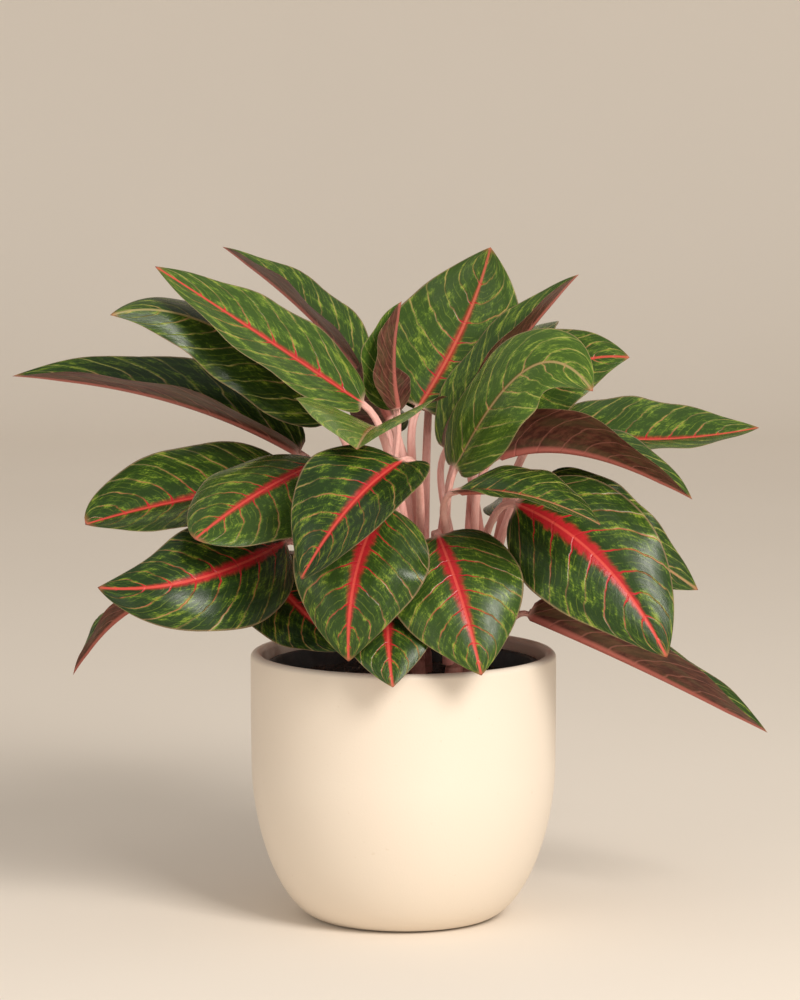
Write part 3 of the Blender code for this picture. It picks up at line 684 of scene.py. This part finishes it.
soil_low, soil_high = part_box("soil")
soil_rings = [np.full((SOIL_STEPS, 3), (0.0, 0.0, soil_low[2]))]
angles = np.linspace(0, 2 * math.pi, SOIL_STEPS, endpoint=False)
for radius, height in ((50.6, soil_low[2] / MM), (60.0, 55.0), (68.0, 98.0), (74.6, 138.0)):
    soil_rings.append(np.stack([radius * np.cos(angles), radius * np.sin(angles),
                                np.full(SOIL_STEPS, height)], axis=1) * MM)
for radius in np.linspace(SOIL_EDGE_RADIUS, 0, 60):
    x = radius * np.cos(angles)
    y = radius * np.sin(angles)
    lumps = 1.3 * np.sin(0.17 * x + 0.6) * np.cos(0.21 * y - 0.4) + 0.7 * np.sin(0.46 * x - 0.39 * y)
    lumps += 0.4 * np.sin(1.1 * x + 0.8 * y) * np.cos(0.9 * y)
    sink = 2.2 * smooth_step(60, SOIL_EDGE_RADIUS, radius)
    height = soil_high[2] / MM - 1.2 + np.clip(lumps, -1.8, 1.2) * min(1, radius / 10) - sink
    soil_rings.append(np.stack([x, y, height], axis=1) * MM)
# The loops are turned round here, and the crumbs' random places follow that order.
soil_piece = piece_from_grid("visual_soil", [ring[::-1] for ring in soil_rings[::-1]], False,
                             ["soil"], earth_material)

# Crumbs: a node tree scatters small lumps, each turned and stretched at random with a fixed seed,
# over the faces that look up.
tree = bpy.data.node_groups.new("soil_crumbs", "GeometryNodeTree")
tree.interface.new_socket("Geometry", in_out="INPUT", socket_type="NodeSocketGeometry")
density_input = tree.interface.new_socket("Density", in_out="INPUT", socket_type="NodeSocketFloat")
density_input.default_value = 90000.0
size_input = tree.interface.new_socket("Size", in_out="INPUT", socket_type="NodeSocketFloat")
size_input.default_value = 0.00065
tree.interface.new_socket("Geometry", in_out="OUTPUT", socket_type="NodeSocketGeometry")
group_in = tree.nodes.new("NodeGroupInput")
group_out = tree.nodes.new("NodeGroupOutput")
scatter = tree.nodes.new("GeometryNodeDistributePointsOnFaces")
scatter.inputs["Seed"].default_value = 7
pick = tree.nodes.new("GeometryNodeInputNormal")
split = tree.nodes.new("ShaderNodeSeparateXYZ")
upward = tree.nodes.new("FunctionNodeCompare")
upward.inputs["B"].default_value = 0.7
grain = tree.nodes.new("GeometryNodeMeshIcoSphere")
grain.inputs["Subdivisions"].default_value = 1
spin = tree.nodes.new("FunctionNodeRandomValue")
spin.data_type = "FLOAT_VECTOR"
spin.inputs["Max"].default_value = (6.28, 6.28, 6.28)
spin.inputs["Seed"].default_value = 3
stretch = tree.nodes.new("FunctionNodeRandomValue")
stretch.data_type = "FLOAT_VECTOR"
stretch.inputs["Min"].default_value = (0.4, 0.3, 0.3)
stretch.inputs["Max"].default_value = (2.4, 1.3, 1.0)
stretch.inputs["Seed"].default_value = 5
place_grains = tree.nodes.new("GeometryNodeInstanceOnPoints")
realize = tree.nodes.new("GeometryNodeRealizeInstances")
paint = tree.nodes.new("GeometryNodeSetMaterial")
paint.inputs["Material"].default_value = crumb_material
tree.links.new(group_in.outputs["Geometry"], scatter.inputs["Mesh"])
tree.links.new(group_in.outputs["Density"], scatter.inputs["Density"])
tree.links.new(group_in.outputs["Size"], grain.inputs["Radius"])
tree.links.new(pick.outputs["Normal"], split.inputs["Vector"])
tree.links.new(split.outputs["Z"], upward.inputs["A"])
tree.links.new(upward.outputs["Result"], scatter.inputs["Selection"])
tree.links.new(scatter.outputs["Points"], place_grains.inputs["Points"])
tree.links.new(grain.outputs["Mesh"], place_grains.inputs["Instance"])
tree.links.new(spin.outputs["Value"], place_grains.inputs["Rotation"])
tree.links.new(stretch.outputs["Value"], place_grains.inputs["Scale"])
tree.links.new(place_grains.outputs["Instances"], realize.inputs["Geometry"])
tree.links.new(realize.outputs["Geometry"], paint.inputs["Geometry"])
tree.links.new(paint.outputs["Geometry"], group_out.inputs["Geometry"])
scatter_on = bpy.data.objects.new("soil_scatter", soil_piece.data.copy())
scene.collection.objects.link(scatter_on)
scatter_on.modifiers.new("crumbs", "NODES").node_group = tree
grown = scatter_on.evaluated_get(bpy.context.evaluated_depsgraph_get())
crumb_mesh = bpy.data.meshes.new_from_object(grown)
bpy.data.objects.remove(scatter_on)
crumbs = bpy.data.objects.new("visual_soil_crumbs", crumb_mesh)
scene.collection.objects.link(crumbs)
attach(crumbs, "root")


# ---------------------------------------------------------------- stage, light and camera
# A warm beige sweep: the floor runs back and turns up into a wall. A soft key light stands in front
# on the right, and a wider, weaker one on the left.
sweep_nodes = Nodes("beige_sweep")
sweep_place = sweep_nodes.place()
sweep_color = sweep_nodes.mix(sweep_nodes.noise(sweep_place, 2.2, 3.0),
                              (0.80, 0.725, 0.635), (0.84, 0.765, 0.675))
sweep_nodes.bump(sweep_nodes.noise(sweep_place, 500.0, 2.0), 0.05, 0.0006)
sweep_material = sweep_nodes.finish(sweep_color, 0.9)
corner = [(-6.0, 0.0)] + [(2.6 + 0.8 * math.sin(angle), 0.8 - 0.8 * math.cos(angle))
                         for angle in np.radians(np.linspace(0, 90, 24))] + [(3.4, 4.0)]
sweep_mesh = bpy.data.meshes.new("sweep")
sweep_points = [(side, y, z) for y, z in corner for side in (-5.0, 5.0)]
sweep_faces = [(2 * index, 2 * index + 1, 2 * index + 3, 2 * index + 2) for index in range(len(corner) - 1)]
sweep_mesh.from_pydata(sweep_points, [], sweep_faces)
sweep_mesh.shade_smooth()
sweep_mesh.materials.append(sweep_material)
sweep = bpy.data.objects.new("sweep", sweep_mesh)
scene.collection.objects.link(sweep)


def add_light(name, place, aim, power, size, color):
    """A square soft light at a place, aimed at a point."""
    data = bpy.data.lights.new(name, "AREA")
    data.energy = power
    data.size = size
    data.color = color
    lamp = bpy.data.objects.new(name, data)
    lamp.location = place
    away = np.asarray(place, float) - np.asarray(aim, float)
    flat = math.hypot(away[0], away[1])
    lamp.rotation_euler = (math.atan2(flat, away[2]), 0, math.atan2(away[0], -away[1]))
    scene.collection.objects.link(lamp)


add_light("key", (1.2, -1.9, 1.75), (0, 0, 0.2), 64.0, 1.0, (1.0, 0.955, 0.895))
add_light("fill", (-1.8, -2.2, 1.0), (0, 0, 0.2), 10.0, 1.6, (1.0, 0.95, 0.90))
world = bpy.data.worlds.new("room")
world.use_nodes = True
world.node_tree.nodes["Background"].inputs["Color"].default_value = (1.0, 0.955, 0.90, 1.0)
world.node_tree.nodes["Background"].inputs["Strength"].default_value = 0.52
scene.world = world
scene.view_settings.view_transform = "Standard"

camera_data = bpy.data.cameras.new("camera")
camera_data.sensor_width = 36.0
camera_data.lens = 160.7
camera = bpy.data.objects.new("camera", camera_data)
camera.location = (-0.002, -2.6, 0.565)
camera.rotation_euler = (math.radians(90 - 6.963), 0, 0)
scene.collection.objects.link(camera)
scene.camera = camera
